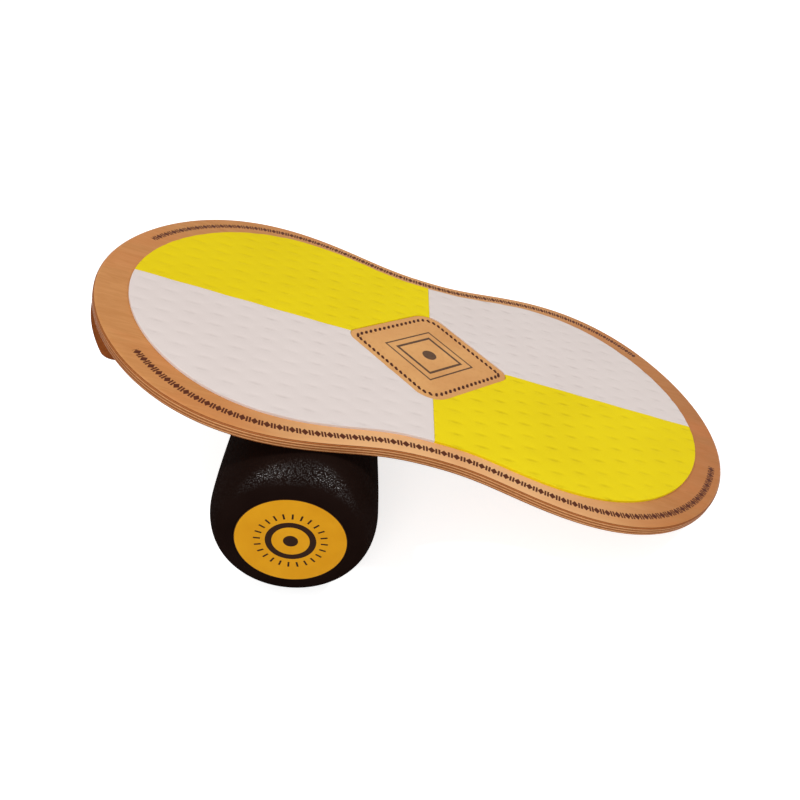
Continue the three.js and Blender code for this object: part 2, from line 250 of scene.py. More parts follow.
def lathe(name, profile):
    """Closed solid turned about the roller's axis; the profile runs from pole to pole."""
    sides = ROLLER_SIDES
    angle = np.linspace(0, 2 * math.pi, sides, endpoint=False)
    points, rings = [], []
    for radius, along in profile:
        if radius < 1e-9:
            rings.append([len(points)])
            points.append((0, 0, along))
            continue
        rings.append(list(range(len(points), len(points) + sides)))
        points += [(radius * c, radius * s, along) for c, s in zip(np.cos(angle), np.sin(angle))]
    faces = []
    for a, b in zip(rings, rings[1:]):
        for step in range(sides):
            after = (step + 1) % sides
            if len(a) == 1:
                faces.append((a[0], b[after], b[step]))
            elif len(b) == 1:
                faces.append((a[step], a[after], b[0]))
            else:
                faces.append((a[step], a[after], b[after], b[step]))
    points = np.array(points)[:, [0, 2, 1]] * (1, 1, -1)
    return new_object(name, points, faces, Matrix.Translation(ROLLER_AT))


# Shader helpers

def fresh_tree(owner):
    """The node tree of a material or world, emptied."""
    owner.use_nodes = True
    owner.node_tree.nodes.clear()
    return owner.node_tree


def feed(tree, socket, value):
    """A socket takes a plain value or another node's output."""
    if isinstance(value, bpy.types.NodeSocket):
        tree.links.new(value, socket)
    else:
        socket.default_value = value


def add_node(tree, kind, inputs=None, **settings):
    node = tree.nodes.new("ShaderNode" + kind)
    for key, value in settings.items():
        setattr(node, key, value)
    for key, value in (inputs or {}).items():
        feed(tree, node.inputs[key], value)
    return node


class Shader:
    """A material whose nodes are added one call at a time."""

    def __init__(self, name, roughness, specular=0.5, **sockets):
        self.material = bpy.data.materials.new(name)
        self.tree = fresh_tree(self.material)
        self.body = self.add("BsdfPrincipled")
        self.add("OutputMaterial", {"Surface": self.body.outputs[0]})
        self.feed("Roughness", roughness)
        self.feed("Specular IOR Level", specular)
        for socket, value in sockets.items():
            self.feed(socket.replace("_", " "), value)

    def add(self, kind, inputs=None, **settings):
        return add_node(self.tree, kind, inputs, **settings)

    def feed(self, name, value):
        feed(self.tree, self.body.inputs[name], value)

    def math(self, operation, a, b=0.0):
        return self.add("Math", {0: a, 1: b}, operation=operation).outputs[0]

    def apart(self, a, b):
        return self.math("ABSOLUTE", self.math("SUBTRACT", a, b))

    def radius(self, a, b):
        squares = self.math("ADD", self.math("MULTIPLY", a, a), self.math("MULTIPLY", b, b))
        return self.math("SQRT", squares)

    def coords(self, deck=True):
        """Coordinates at rest, in the deck's frame or in the world's."""
        source = self.add("TexCoord").outputs["Object"]
        if not deck:
            return source
        inputs = {"Vector": source, "Location": DECK.translation, "Rotation": (0, DECK_TILT, 0)}
        return self.add("Mapping", inputs, vector_type="TEXTURE").outputs[0]

    def scaled(self, vector, scale):
        return self.add("VectorMath", {0: vector, 1: scale}, operation="MULTIPLY").outputs[0]

    def split(self, vector):
        return self.add("SeparateXYZ", {0: vector}).outputs

    def noise(self, vector, scale, detail=3.0, roughness=0.5, distortion=0.0):
        inputs = {"Vector": vector, "Scale": scale, "Detail": detail,
                  "Roughness": roughness, "Distortion": distortion}
        return self.add("TexNoise", inputs).outputs["Fac"]

    def cells(self, vector, scale):
        return self.add("TexVoronoi", {"Vector": vector, "Scale": scale}).outputs["Distance"]

    def remap(self, value, low_in, high_in, low_out=0.0, high_out=1.0, kind="LINEAR"):
        inputs = {"Value": value, "From Min": low_in, "From Max": high_in,
                  "To Min": low_out, "To Max": high_out}
        return self.add("MapRange", inputs, interpolation_type=kind).outputs["Result"]

    def mix(self, factor, a, b):
        return self.add("Mix", {0: factor, 6: a, 7: b}, data_type="RGBA").outputs[2]

    def bump(self, height, distance, strength=1.0, normal=None):
        inputs = {"Height": height, "Distance": distance, "Strength": strength}
        if normal is not None:
            inputs["Normal"] = normal
        return self.add("Bump", inputs).outputs[0]

    def finish(self, colour=None, roughness=None, normal=None):
        for name, value in (("Base Color", colour), ("Roughness", roughness), ("Normal", normal)):
            if value is not None:
                self.feed(name, value)
        return self.material


def srgb(red, green, blue):
    """Linear colour of an 8-bit screen colour."""
    def line(value):
        value /= 255
        return value / 12.92 if value <= 0.04045 else ((value + 0.055) / 1.055) ** 2.4
    return (line(red), line(green), line(blue), 1.0)


# Finishes

def veneer(name, light, dark, print_on=False):
    """Lacquered birch veneer: long grain, dark pores, a painted lacquer sheen near the middle of
    the near side, brown low end.
    """
    s = Shader(name, 0.42, 0.10)
    low_end, middle, figured = srgb(158, 88, 42), srgb(240, 186, 132), srgb(204, 122, 68)
    pore, print_ink = srgb(128, 76, 38), srgb(86, 38, 15)
    at = s.coords()
    grain = s.noise(s.scaled(at, (4, 26, 26)), 7.0, 5.0, 0.6, 0.6)
    fine = s.noise(s.scaled(at, (24, 156, 156)), 9.0, 3.0, 0.6)
    drift = s.noise(at, 5.0, 2.0)
    colour = s.mix(s.remap(grain, 0.28, 0.72), light, dark)
    colour = s.mix(s.remap(drift, 0.3, 0.7, 0.0, 0.35), colour, dark)
    x, y, _ = s.split(at)
    colour = s.mix(s.remap(x, 0.18, 0.38, 0.0, 0.50), colour, low_end)
    # painted sheen: the veneer is lightened toward the middle colour near the middle of the near
    # side, where the lacquer shows a reflection
    painted_sheen = s.math("MULTIPLY", s.remap(s.apart(x, 0.025), 0.07, 0.27, 0.80, 0.0, "SMOOTHSTEP"),
                   s.remap(y, -0.14, 0.02, 1.0, 0.35))
    colour = s.mix(painted_sheen, colour, middle)
    figure = s.noise(s.scaled(at, (5, 12, 12)), 1.0, 4.0, 0.6, 0.8)
    colour = s.mix(s.remap(figure, 0.48, 0.70, 0.0, 0.45), colour, figured)
    colour = s.mix(s.remap(fine, 0.62, 0.74, 0.0, 0.22), colour, pore)
    if print_on:
        colour = s.mix(border_print(s), colour, print_ink)
    return s.finish(colour, s.remap(grain, 0.2, 0.8, 0.36, 0.52), s.bump(fine, 0.00012, 0.35))


def border_print(s):
    """A chain of lozenges and bars along the middle of the border."""
    along, off, _ = s.split(s.add("UVMap", uv_map="rim").outputs[0])
    cell = s.math("SUBTRACT", s.math("FRACT", s.math("DIVIDE", along, PRINT_PITCH)), 0.5)
    run = s.math("MULTIPLY", s.math("ABSOLUTE", cell), PRINT_PITCH)
    off = s.math("ABSOLUTE", off)
    lozenge = s.math("ADD", s.math("DIVIDE", run, LOZENGE_HALF[0]),
                     s.math("DIVIDE", off, LOZENGE_HALF[1]))
    mark = s.remap(lozenge, 0.95, 1.05, 1.0, 0.0)
    beside = s.apart(run, PRINT_PITCH / 2 - PRINT_BAR_GAP)
    bar = s.math("MULTIPLY", s.remap(beside, BAR_HALF[0], BAR_HALF[0] + 0.0001, 1.0, 0.0),
                 s.math("LESS_THAN", off, BAR_HALF[1]))
    shown = s.split(s.add("UVMap", uv_map="span").outputs[0])[0]
    return s.math("MULTIPLY", s.math("MAXIMUM", mark, bar), s.math("GREATER_THAN", shown, 0.5))


def edge_veneer(name, face_grain, end_grain, pore):
    """Sanded veneer edges: paler where the cut runs with the grain, browner across it."""
    s = Shader(name, 0.50, 0.03)
    at = s.coords()
    cut = s.math("ABSOLUTE", s.split(s.add("TexCoord").outputs["Normal"])[0])
    grain = s.noise(s.scaled(at, (30, 30, 220)), 8.0, 4.0, 0.6)
    slow = s.noise(at, 22.0, 2.0)
    colour = s.mix(s.remap(cut, 0.25, 0.95), face_grain, end_grain)
    colour = s.mix(s.remap(grain, 0.45, 0.75, 0.0, 0.5), colour, pore)
    colour = s.mix(s.remap(slow, 0.35, 0.7, 0.0, 0.3), colour, end_grain)
    normal = s.bump(grain, 0.0001, 0.35)
    return s.finish(colour, s.remap(grain, 0.2, 0.8, 0.36, 0.50), normal)


def solid_wood(name, light, dark):
    """Solid hardwood block with its grain across the deck."""
    s = Shader(name, 0.55, 0.0)
    at = s.coords()
    grain = s.noise(s.scaled(at, (34, 5, 34)), 6.0, 5.0, 0.62, 0.9)
    fine = s.noise(s.scaled(at, (260, 30, 260)), 7.0, 3.0, 0.6)
    colour = s.mix(s.remap(grain, 0.33, 0.66), light, dark)
    colour = s.mix(s.remap(fine, 0.56, 0.72, 0.0, 0.4), colour, srgb(84, 42, 20))
    return s.finish(colour, s.remap(grain, 0.2, 0.8, 0.40, 0.55), s.bump(fine, 0.00015, 0.4))


def foam(name, colour, shade, hollow_shade):
    """Closed-cell foam, faintly mottled, with painted shade in its pressed marks and toward the
    high end.
    """
    s = Shader(name, 0.80, 0.10)
    at = s.coords()
    slow = s.noise(at, 9.0, 3.0)
    fine = s.noise(at, 900.0, 2.0, 0.6)
    pits = s.cells(at, 620.0)
    tint = s.mix(s.remap(slow, 0.3, 0.7, 0.0, 0.35), colour, shade)
    tint = s.mix(s.remap(fine, 0.4, 0.75, 0.0, 0.18), tint, shade)
    x, _, _ = s.split(at)
    # painted shade: the foam darkens toward the high end
    tint = s.mix(s.remap(x, -0.32, 0.02, 0.5, 0.0), tint, shade)
    # painted shade: the pressed marks are darkened toward the hollow colour, unevenly and less
    # toward the high end
    press = s.add("Attribute", attribute_name="press").outputs["Fac"]
    uneven = s.remap(s.noise(at, 17.0, 2.0), 0.36, 0.64, 0.25, 1.0)
    wear_and_painted_light = s.math("MULTIPLY", uneven, s.remap(x, -0.30, 0.10, 0.5, 1.0))
    tint = s.mix(s.math("MULTIPLY", s.remap(press, 0.15, 0.9, 0.0, 0.6), wear_and_painted_light), tint, hollow_shade)
    normal = s.bump(pits, 0.00012, 0.30)
    normal = s.bump(fine, 0.0001, 0.25, normal)
    return s.finish(tint, s.remap(fine, 0.3, 0.7, 0.66, 0.80), normal)


def leather(name):
    """Tan leather with a fine pebble grain, darker down its sides, and a printed motif."""
    s = Shader(name, 0.55, 0.2)
    light, dark, crease = srgb(226, 168, 104), srgb(212, 151, 90), srgb(182, 122, 70)
    motif_ink, lower_side_tone = srgb(58, 36, 24), srgb(150, 92, 52)
    at = s.coords()
    x, y, z = s.split(at)
    slow = s.noise(at, 16.0, 3.0)
    grain = s.cells(at, 640.0)
    creases = s.noise(at, 210.0, 4.0, 0.6)
    colour = s.mix(s.remap(slow, 0.3, 0.7), light, dark)
    colour = s.mix(s.remap(creases, 0.5, 0.8, 0.0, 0.25), colour, crease)
    along = s.math("DIVIDE", s.math("ABSOLUTE", x), PATCH_LENGTH / 2)
    across = s.math("DIVIDE", s.math("ABSOLUTE", y), PATCH_WIDTH / 2)
    lozenge = s.math("ADD", along, across)
    ink = s.remap(s.radius(x, y), MOTIF_DOT, MOTIF_DOT + 0.0007, 1.0, 0.0)
    for middle, width in MOTIF_LINES:
        line = s.remap(s.apart(lozenge, middle), width / 2, width / 2 + 0.008, 1.0, 0.0)
        ink = s.math("MAXIMUM", ink, line)
    wear_and_painted_light = s.math("MULTIPLY", ink, s.remap(creases, 0.25, 0.6, 1.0, 0.90))
    colour = s.mix(wear_and_painted_light, colour, motif_ink)
    skin = DECK_THICKNESS + SEAT + PATCH_THICKNESS
    # darker below the top, down the patch's sides
    colour = s.mix(s.remap(z, skin - 0.0012, skin - 0.0006, 1.0, 0.0), colour, lower_side_tone)
    normal = s.bump(grain, 0.00015, 0.35)
    normal = s.bump(creases, 0.0002, 0.3, normal)
    return s.finish(colour, s.remap(creases, 0.3, 0.7, 0.46, 0.60), normal)


def thread(name):
    s = Shader(name, 0.65, 0.15)
    twist = s.noise(s.coords(), 1500.0, 2.0)
    colour = s.mix(s.remap(twist, 0.3, 0.7), srgb(82, 38, 22), srgb(56, 26, 16))
    return s.finish(colour, None, s.bump(twist, 0.0001, 0.5))


def steel(name):
    s = Shader(name, 0.34, 0.5, Metallic=1.0)
    brushed = s.noise(s.coords(), 700.0, 2.0)
    colour = s.mix(s.remap(brushed, 0.3, 0.7), srgb(176, 172, 164), srgb(140, 136, 130))
    return s.finish(colour, s.remap(brushed, 0.3, 0.7, 0.26, 0.44), s.bump(brushed, 0.00005, 0.3))


def roller_plastic(name):
    """Black moulded plastic: glossy pebbles all over its barrel, smooth matt end caps, a painted
    warm highlight on the pebble crests.
    """
    s = Shader(name, 0.50, 0.0, Coat_Roughness=0.14, Coat_IOR=1.65)
    # the third colour is the painted warm highlight on the pebble crests
    light, dark, wear_and_painted_light = srgb(24, 14, 11), srgb(30, 19, 16), srgb(42, 31, 22)
    at = s.coords(deck=False)
    _, y, _ = s.split(at)
    pebbles = s.cells(at, 740.0)
    fine = s.noise(at, 1300.0, 2.0)
    slow = s.noise(at, 18.0, 3.0)
    colour = s.mix(s.remap(slow, 0.3, 0.7), light, dark)
    from_end = s.math("SUBTRACT", ROLLER_LENGTH / 2, s.math("ABSOLUTE", y))
    textured = s.remap(from_end, ROLLER_GRAIN, ROLLER_GRAIN + ROLLER_GRAIN_RUN, 0.0, 1.0,
                       "SMOOTHSTEP")
    crest = s.math("MULTIPLY", s.remap(pebbles, 0.18, 0.50, 1.0, 0.0), textured)
    # painted highlight: the pebble crests are lifted toward a warm brown, standing in for the warm
    # tone of the lamp highlights
    colour = s.mix(s.math("MULTIPLY", crest, 0.15), colour, wear_and_painted_light)
    facing = s.add("LayerWeight").outputs["Facing"]
    shine = s.math("MULTIPLY", crest, s.remap(facing, 0.13, 0.30, 1.0, 0.04, "SMOOTHSTEP"))
    s.feed("Coat Weight", shine)
    normal = s.bump(crest, 0.00012, 0.7)
    normal = s.bump(fine, 0.00004, 0.3, normal)
    s.feed("Coat Normal", normal)
    return s.finish(colour, s.remap(fine, 0.3, 0.7, 0.46, 0.56), normal)


def label_film(name):
    """Warm yellow printed film: a ring, a dot and short ticks, like a blank dial; a dark ring at
    its rim is painted shade.
    """
    s = Shader(name, 0.45, 0.03)
    light, dark = srgb(233, 165, 30), srgb(225, 155, 25)
    dial_ink, painted_gap_shade = srgb(50, 30, 18), srgb(46, 26, 14)
    at = s.coords(deck=False)
    x, _, z = s.split(at)
    x = s.math("SUBTRACT", x, ROLLER_AT.x)
    z = s.math("SUBTRACT", z, ROLLER_AT.z)
    radius = s.radius(x, z)
    step = 2 * math.pi / DIAL_TICKS
    spoke = s.apart(s.math("FRACT", s.math("DIVIDE", s.math("ARCTAN2", z, x), step)), 0.5)
    wide = s.math("MULTIPLY", spoke, s.math("MULTIPLY", radius, step))
    first, last = DIAL_TICK_REACH
    reach = s.math("MULTIPLY", s.math("GREATER_THAN", radius, first),
                   s.math("LESS_THAN", radius, last))
    soft = 0.0002
    ink = s.math("MULTIPLY", reach,
                 s.remap(wide, DIAL_TICK_HALF, DIAL_TICK_HALF + soft, 1.0, 0.0))
    for middle, half in (DIAL_RING, DIAL_DOT):
        mark = s.remap(s.apart(radius, middle), half, half + soft, 1.0, 0.0)
        ink = s.math("MAXIMUM", ink, mark)
    slow = s.noise(at, 30.0, 2.0)
    speck = s.noise(at, 900.0, 2.0)
    colour = s.mix(s.remap(slow, 0.3, 0.7), light, dark)
    colour = s.mix(ink, colour, dial_ink)
    # painted shade: a dark ring at the film's rim stands in for the shade in the gap round the
    # label
    edge = s.remap(radius, LABEL_RADIUS - 0.0012, LABEL_RADIUS - 0.0009)
    colour = s.mix(edge, colour, painted_gap_shade)
    return s.finish(colour, s.remap(speck, 0.3, 0.7, 0.32, 0.42), s.bump(speck, 0.00004, 0.25))


def plug_plastic(name):
    s = Shader(name, 0.5, 0.5)
    speck = s.noise(s.coords(deck=False), 800.0, 2.0)
    colour = s.mix(s.remap(speck, 0.3, 0.7), srgb(52, 50, 48), srgb(40, 38, 36))
    return s.finish(colour, None, s.bump(speck, 0.0001, 0.4))


# Pieces on the deck

def rim_inset(height):
    """How far the rounded rim stands back from its widest line at a height."""
    to_face = min(height, DECK_THICKNESS - height)
    rise = max(RIM_ROUND - to_face, 0)
    return RIM_ROUND - math.sqrt(max(RIM_ROUND ** 2 - rise ** 2, 0))


def board_levels():
    """Heights, insets and band numbers up the rim; a band is a ply or a glue line."""
    arc = [RIM_ROUND * (1 - math.cos(math.radians(a))) for a in range(0, 91, RIM_ROUND_STEP)]
    arc += [DECK_THICKNESS - height for height in arc]
    levels = []
    for ply in range(PLIES):
        bottom = ply * (PLY + GLUE)
        top = bottom + PLY
        between = sorted(h for h in arc if bottom + LEVEL_GAP < h < top - LEVEL_GAP)
        for height in (bottom, *between, top):
            levels.append((height, rim_inset(height), 2 * ply))
        if ply < PLIES - 1:
            for share in GLUE_LEVELS:
                height = top + GLUE * share
                levels.append((height, rim_inset(height) + GLUE_SINK, 2 * ply + 1))
    return levels


def strip_finish(band, next_band):
    """Finish of the strip between two rows: 0 underside, 1 pale, 2 dark, 3 glue, 4 top."""
    if band == -1:
        return 0
    if next_band == 2 * PLIES:
        return 4
    if band != next_band or band % 2:
        return 3
    if band == 2 * (PLIES - 1):
        return 4
    return 1 if band % 4 == 0 else 2


def make_board(finishes):
    """The whole pressed plywood board, its rim rounded over all nine plies."""
    outline = rim_loop(DECK_LENGTH, DECK_WAIST, DECK_LOBE, RIM_STEPS)
    levels = board_levels()
    under = [(0.0, RIM_ROUND + inset, -1) for inset in (0.004, FACE_RINGS[0])]
    over = [(DECK_THICKNESS, RIM_ROUND + inset, 2 * PLIES) for inset in FACE_RINGS]
    rows = under + levels + over
    rings = [np.column_stack([inset_loop(outline, inset), np.full(RIM_STEPS, height)])
             for height, inset, _ in rows]
    faces = bands(rings)
    last = (len(rings) - 1) * RIM_STEPS
    faces.append(tuple(reversed(range(RIM_STEPS))))
    faces.append(tuple(last + k for k in range(RIM_STEPS)))
    board = new_object("plywood_board", np.concatenate(rings), faces, DECK)
    for finish in finishes:
        board.data.materials.append(finish)
    slots = []
    for row, above in zip(rows, rows[1:]):
        slots += [strip_finish(row[2], above[2])] * RIM_STEPS
    slots += [0, 4]
    board.data.polygons.foreach_set("material_index", slots)
    lay_rim_map(board, outline, rows)
    return board


def lay_rim_map(board, outline, rows):
    """Run along the rim and distance from mid-border, for the print; span marks its runs."""
    steps = np.linalg.norm(np.roll(outline, -1, 0) - outline, axis=1)
    run = np.concatenate([[0], np.cumsum(steps)])
    rim = board.data.uv_layers.new(name="rim")
    span = board.data.uv_layers.new(name="span")
    inset = [row[1] for row in rows]
    middle = segment_distance(outline, rim_loop(PAD_LENGTH, PAD_WAIST, PAD_LOBE, 800)) / 2
    middle -= np.interp(outline[:, 0], PRINT_DRIFT_RUN, (0, PRINT_DRIFT))
    for polygon in board.data.polygons:
        columns = [vertex % RIM_STEPS for vertex in polygon.vertices]
        seam = len(columns) == 4 and max(columns) - min(columns) > RIM_STEPS // 2
        for loop_index, vertex, column in zip(polygon.loop_indices, polygon.vertices, columns):
            at = run[RIM_STEPS] if seam and column == 0 else run[column]
            rim.data[loop_index].uv = (at, inset[vertex // RIM_STEPS] - middle[column])
            x, y = outline[column]
            first, last = PRINT_FAR if y > 0 else PRINT_NEAR
            span.data[loop_index].uv = (float(first < x < last), 0.0)


def diamond_loop(grow=0.0, corner_steps=14):
    """The patch outline, its tips on the long axis, grown outward by a distance."""
    corners = [((PATCH_LENGTH / 2, 0), PATCH_TIP), ((0, PATCH_WIDTH / 2), PATCH_SIDE),
               ((-PATCH_LENGTH / 2, 0), PATCH_TIP), ((0, -PATCH_WIDTH / 2), PATCH_SIDE)]
    points = []
    for index, (at, rounding) in enumerate(corners):
        at = np.array(at)
        back = np.array(corners[(index + 3) % 4][0]) - at
        ahead = np.array(corners[(index + 1) % 4][0]) - at
        back /= np.linalg.norm(back)
        ahead /= np.linalg.norm(ahead)
        half = math.acos(back @ ahead) / 2
        middle = (back + ahead) / np.linalg.norm(back + ahead)
        centre = at + middle * rounding / math.sin(half)
        sweep = math.pi - 2 * half
        outward = math.atan2(-middle[1], -middle[0])
        for step in range(corner_steps + 1):
            angle = outward + sweep * (step / corner_steps - 0.5)
            points.append(centre + (rounding + grow) * np.array([math.cos(angle), math.sin(angle)]))
    return np.array(points)


def dense(loop, spacing):
    """A closed loop with points added so that none are farther apart than the spacing."""
    points = []
    for a, b in zip(loop, np.roll(loop, -1, 0)):
        pieces = max(int(math.ceil(np.linalg.norm(b - a) / spacing)), 1)
        points += [a + (b - a) * k / pieces for k in range(pieces)]
    return np.array(points)


def quarter(loop, gap):
    """The part of a loop in the first quadrant, cut the two gaps away from its axes."""
    gap_x, gap_y = gap
    angle = np.arctan2(loop[:, 1], loop[:, 0])
    order = np.argsort(angle)
    loop = loop[order]
    keep = (loop.min(1) > -QUARTER_MARGIN) & (np.abs(angle[order]) < 2)
    line = loop[keep]
    tip = np.array([np.interp(gap_y, line[:, 1], line[:, 0]), gap_y])
    side = np.array([gap_x, np.interp(-gap_x, -line[:, 0], line[:, 1])])
    inner = line[(line[:, 0] > gap_x) & (line[:, 1] > gap_y)]
    return np.vstack([tip, inner, side])


def pressed(points, phase):
    """How far each point lies in a lens-shaped mark of the staggered rows, 0 to 1."""
    pitch_x, pitch_y = DIMPLE_PITCH
    x, y = points[:, 0] - phase[0], points[:, 1] - phase[1]
    share = np.zeros(len(points))
    for shift in (-1, 0, 1):
        near = np.round(x / pitch_x) + shift
        dx = x - near * pitch_x
        dy = y - near * pitch_y / 2
        dy -= np.round(dy / pitch_y) * pitch_y
        reach = (dx / DIMPLE_HALF[0]) ** 2 + (dy / DIMPLE_HALF[1]) ** 2
        share += np.exp(-DIMPLE_FALL * reach)
    return share


def relief(points, phase):
    """Height below the crest of the embossed foam: pillows between the pressed marks."""
    pitch_x, pitch_y = DIMPLE_PITCH
    x, y = points[:, 0] - phase[0], points[:, 1] - phase[1]
    u = (x / pitch_x + 2 * y / pitch_y) / 2
    v = (x / pitch_x - 2 * y / pitch_y) / 2
    wave = (np.cos(2 * math.pi * u) + np.cos(2 * math.pi * v)) / 2
    return PILLOW * (1 + wave) / 2 + DIMPLE_DEPTH * pressed(points, phase)


def filled(name, loop, top, edge_round, grid, drop, base, finish):
    """A closed pad: rounded upper edge, fine top mesh lowered by drop, flat underneath."""
    rings, heights = [], []
    for k in range(EDGE_STEPS + 1):
        angle = math.pi / 2 * k / EDGE_STEPS
        inset = edge_round * (1 - math.cos(angle))
        rings.append(inset_loop(loop, inset) if inset > 0 else loop.copy())
        heights.append(top - edge_round + edge_round * math.sin(angle))
    inner = rings[-1]
    low_corner, high_corner = inner.min(0), inner.max(0)
    xs = np.arange(low_corner[0] + grid / 2, high_corner[0], grid)
    ys = np.arange(low_corner[1] + grid / 2, high_corner[1], grid)
    mesh_x, mesh_y = np.meshgrid(xs, ys)
    mesh_x[1::2] += grid / 2
    field = np.column_stack([mesh_x.ravel(), mesh_y.ravel()])
    field = field[inside_loop(field, inner)]
    field = field[segment_distance(field, inner) > grid * 0.55]
    count = len(loop)
    flat = [Vector(p) for p in np.vstack([inner, field])]
    edges = [(k, (k + 1) % count) for k in range(count)]
    out = delaunay_2d_cdt(flat, edges, [], 1, 1e-7)
    assert len(out[0]) == len(flat), name
    plane = np.array([tuple(v) for v in out[0]])
    points = [np.column_stack([loop, np.full(count, base)])]
    for ring, height in zip(rings[:-1], heights[:-1]):
        share = (height - (top - edge_round)) / edge_round
        points.append(np.column_stack([ring, height - drop(ring) * share]))
    faces = bands([*points, inner])
    start = len(points) * count
    points.append(np.column_stack([plane, heights[-1] - drop(plane)]))
    faces += [tuple(start + k for k in face) for face in out[2]]
    faces.append(tuple(reversed(range(count))))
    obj = new_object(name, np.vstack(points), faces, DECK)
    obj.data.polygons[len(obj.data.polygons) - 1].use_smooth = False
    obj.data.materials.append(finish)
    return obj


def make_pads(finishes):
    top = DECK_THICKNESS + SEAT + PAD_THICKNESS
    rim_line = rim_loop(PAD_LENGTH, PAD_WAIST, PAD_LOBE, PAD_RIM_TRACE)
    window_line = dense(diamond_loop(PATCH_GAP), WINDOW_SPACING)
    for name, (side_x, side_y, tint, phase) in PADS.items():
        gap = np.array(SEAM_SHIFT) * (side_x, side_y) + SEAM / 2
        rim = resample(quarter(rim_line, gap), PAD_RIM_POINTS)
        window = resample(quarter(window_line, gap), PAD_WINDOW_POINTS)
        loop = np.vstack([rim, window[::-1]]) * (side_x, side_y)
        if side_x * side_y < 0:
            loop = loop[::-1]
        loop = dense(loop, PAD_SPACING)
        pad = filled(name.replace("pad", "foam_pad"), loop, top, PAD_EDGE_ROUND, PAD_GRID,
                     lambda p, phase=phase: relief(p, phase), DECK_THICKNESS, finishes[tint])
        flat = np.array([v.co for v in pad.data.vertices])
        flat = (flat - np.array(DECK.translation)) @ np.array(DECK.to_3x3())
        press = pad.data.attributes.new("press", "FLOAT", "POINT")
        press.data.foreach_set("value", pressed(flat, phase))
        sharpen(pad, 60)
        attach(pad, "deck")
        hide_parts(name)


def patch_drop(points):
    """The patch's top: a sewn channel along its edge and a slight crown inside it."""
    away = segment_distance(points, dense(diamond_loop(-STITCH_MARGIN), 0.001))
    edge = segment_distance(points, dense(diamond_loop(), 0.002))
    channel = CHANNEL_DEPTH * np.exp(-(away / CHANNEL_HALF) ** 2)
    return channel + CROWN_DROP * np.exp(-edge / CROWN_RUN)


def make_patch(finish, thread_finish):
    top = DECK_THICKNESS + SEAT + PATCH_THICKNESS
    loop = dense(diamond_loop(), PATCH_SPACING)
    patch = filled("leather_patch", loop, top, PATCH_EDGE_ROUND, PATCH_GRID, patch_drop,
                   DECK_THICKNESS + SEAT, finish)
    sharpen(patch, 60)
    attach(patch, "deck")
    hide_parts("diamond_patch")
    stitches = make_stitches(top - 0.0003, thread_finish)
    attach(stitches, "deck")


def make_stitches(height, finish):
    """Thick slanted stitches, each a rounded bar that dips into the leather at both ends."""
    line = diamond_loop(-STITCH_MARGIN)
    total = loop_length(line)
    count = int(round(total / STITCH_PITCH))
    closed = np.vstack([line, line[:1]])
    run = np.concatenate([[0], np.cumsum(np.linalg.norm(np.diff(closed, axis=0), axis=1))])
    points, faces = [], []
    sides, stations = STITCH_SIDES, STITCH_STATIONS
    for k in range(count):
        at = total * (k + 0.5) / count
        place = np.array([np.interp(at, run, closed[:, j]) for j in range(2)])
        ahead = np.array([np.interp((at + 0.0005) % total, run, closed[:, j]) for j in range(2)])
        along = (ahead - place) / np.linalg.norm(ahead - place)
        lean = STITCH_LEAN if along[0] * along[1] < 0 else 0.0
        along = np.array([0, 1]) + lean * along * (1 if along[1] > 0 else -1)
        along /= np.linalg.norm(along)
        length = STITCH_LENGTH * (STITCH_TIP_GROWTH if abs(place[0]) > STITCH_TIP else 1.0)
        across = np.array([-along[1], along[0]])
        start = len(points)
        for station in range(stations):
            share = station / (stations - 1) * 2 - 1
            radius = STITCH_RADIUS * math.sqrt(max(1 - share ** 4, 0.02))
            sink = STITCH_SINK * share ** 2
            centre = place + along * share * length / 2
            for side in range(sides):
                angle = 2 * math.pi * side / sides
                flat = centre + across * radius * STITCH_WIDE * math.cos(angle)
                rise = STITCH_FLAT * radius * math.sin(angle)
                points.append((flat[0], flat[1], height - sink + rise))
        for station in range(stations - 1):
            for side in range(sides):
                after = (side + 1) % sides
                a, b = start + station * sides, start + (station + 1) * sides
                faces.append((a + side, a + after, b + after, b + side))
        end = start + (stations - 1) * sides
        faces.append(tuple(start + side for side in reversed(range(sides))))
        faces.append(tuple(end + side for side in range(sides)))
    obj = new_object("patch_stitches", points, faces, DECK)
    obj.data.materials.append(finish)
    return obj


def stop_line(angle):
    """The stop's middle at an angle round the deck, and the direction outward there."""
    ends = rim_loop(DECK_LENGTH, DECK_WAIST, DECK_LOBE, 3,
                    angle - STOP_NUDGE, angle + STOP_NUDGE, False)
    along = ends[2] - ends[0]
    along /= np.linalg.norm(along)
    outward = np.array([along[1], -along[0]])
    return ends[1] - outward * (STOP_SETBACK + STOP_WIDTH / 2), outward


def stop_angle(offset):
    """The angle at which the stop's middle line lies that far off the deck's axis."""
    low_angle, high_angle = 0.0, math.pi / 4
    for _ in range(40):
        middle = (low_angle + high_angle) / 2
        if stop_line(middle)[0][1] < offset:
            low_angle = middle
        else:
            high_angle = middle
    return low_angle


def stop_loop():
    """The stop's outline: along the rim, round each tip and back along the inside."""
    half = STOP_WIDTH / 2
    reach = stop_angle(STOP_SPAN / 2 - half)
    outer, inner = [], []
    for step in range(STOP_CURVE_STEPS + 1):
        at, outward = stop_line(reach * (2 * step / STOP_CURVE_STEPS - 1))
        outer.append(at + outward * half)
        inner.insert(0, at - outward * half)

    def tip(angle):
        at, outward = stop_line(angle)
        first = math.atan2(outward[1], outward[0]) + (0 if angle > 0 else math.pi)
        turns = [first + math.pi * k / STOP_TIP_STEPS for k in range(1, STOP_TIP_STEPS)]
        return [at + half * np.array([math.cos(t), math.sin(t)]) for t in turns]

    return np.array([*outer, *tip(reach), *inner, *tip(-reach)])


def circle(centre, radius, sides):
    angle = np.linspace(0, 2 * math.pi, sides, endpoint=False)
    return np.column_stack([centre[0] + radius * np.cos(angle), centre[1] + radius * np.sin(angle)])


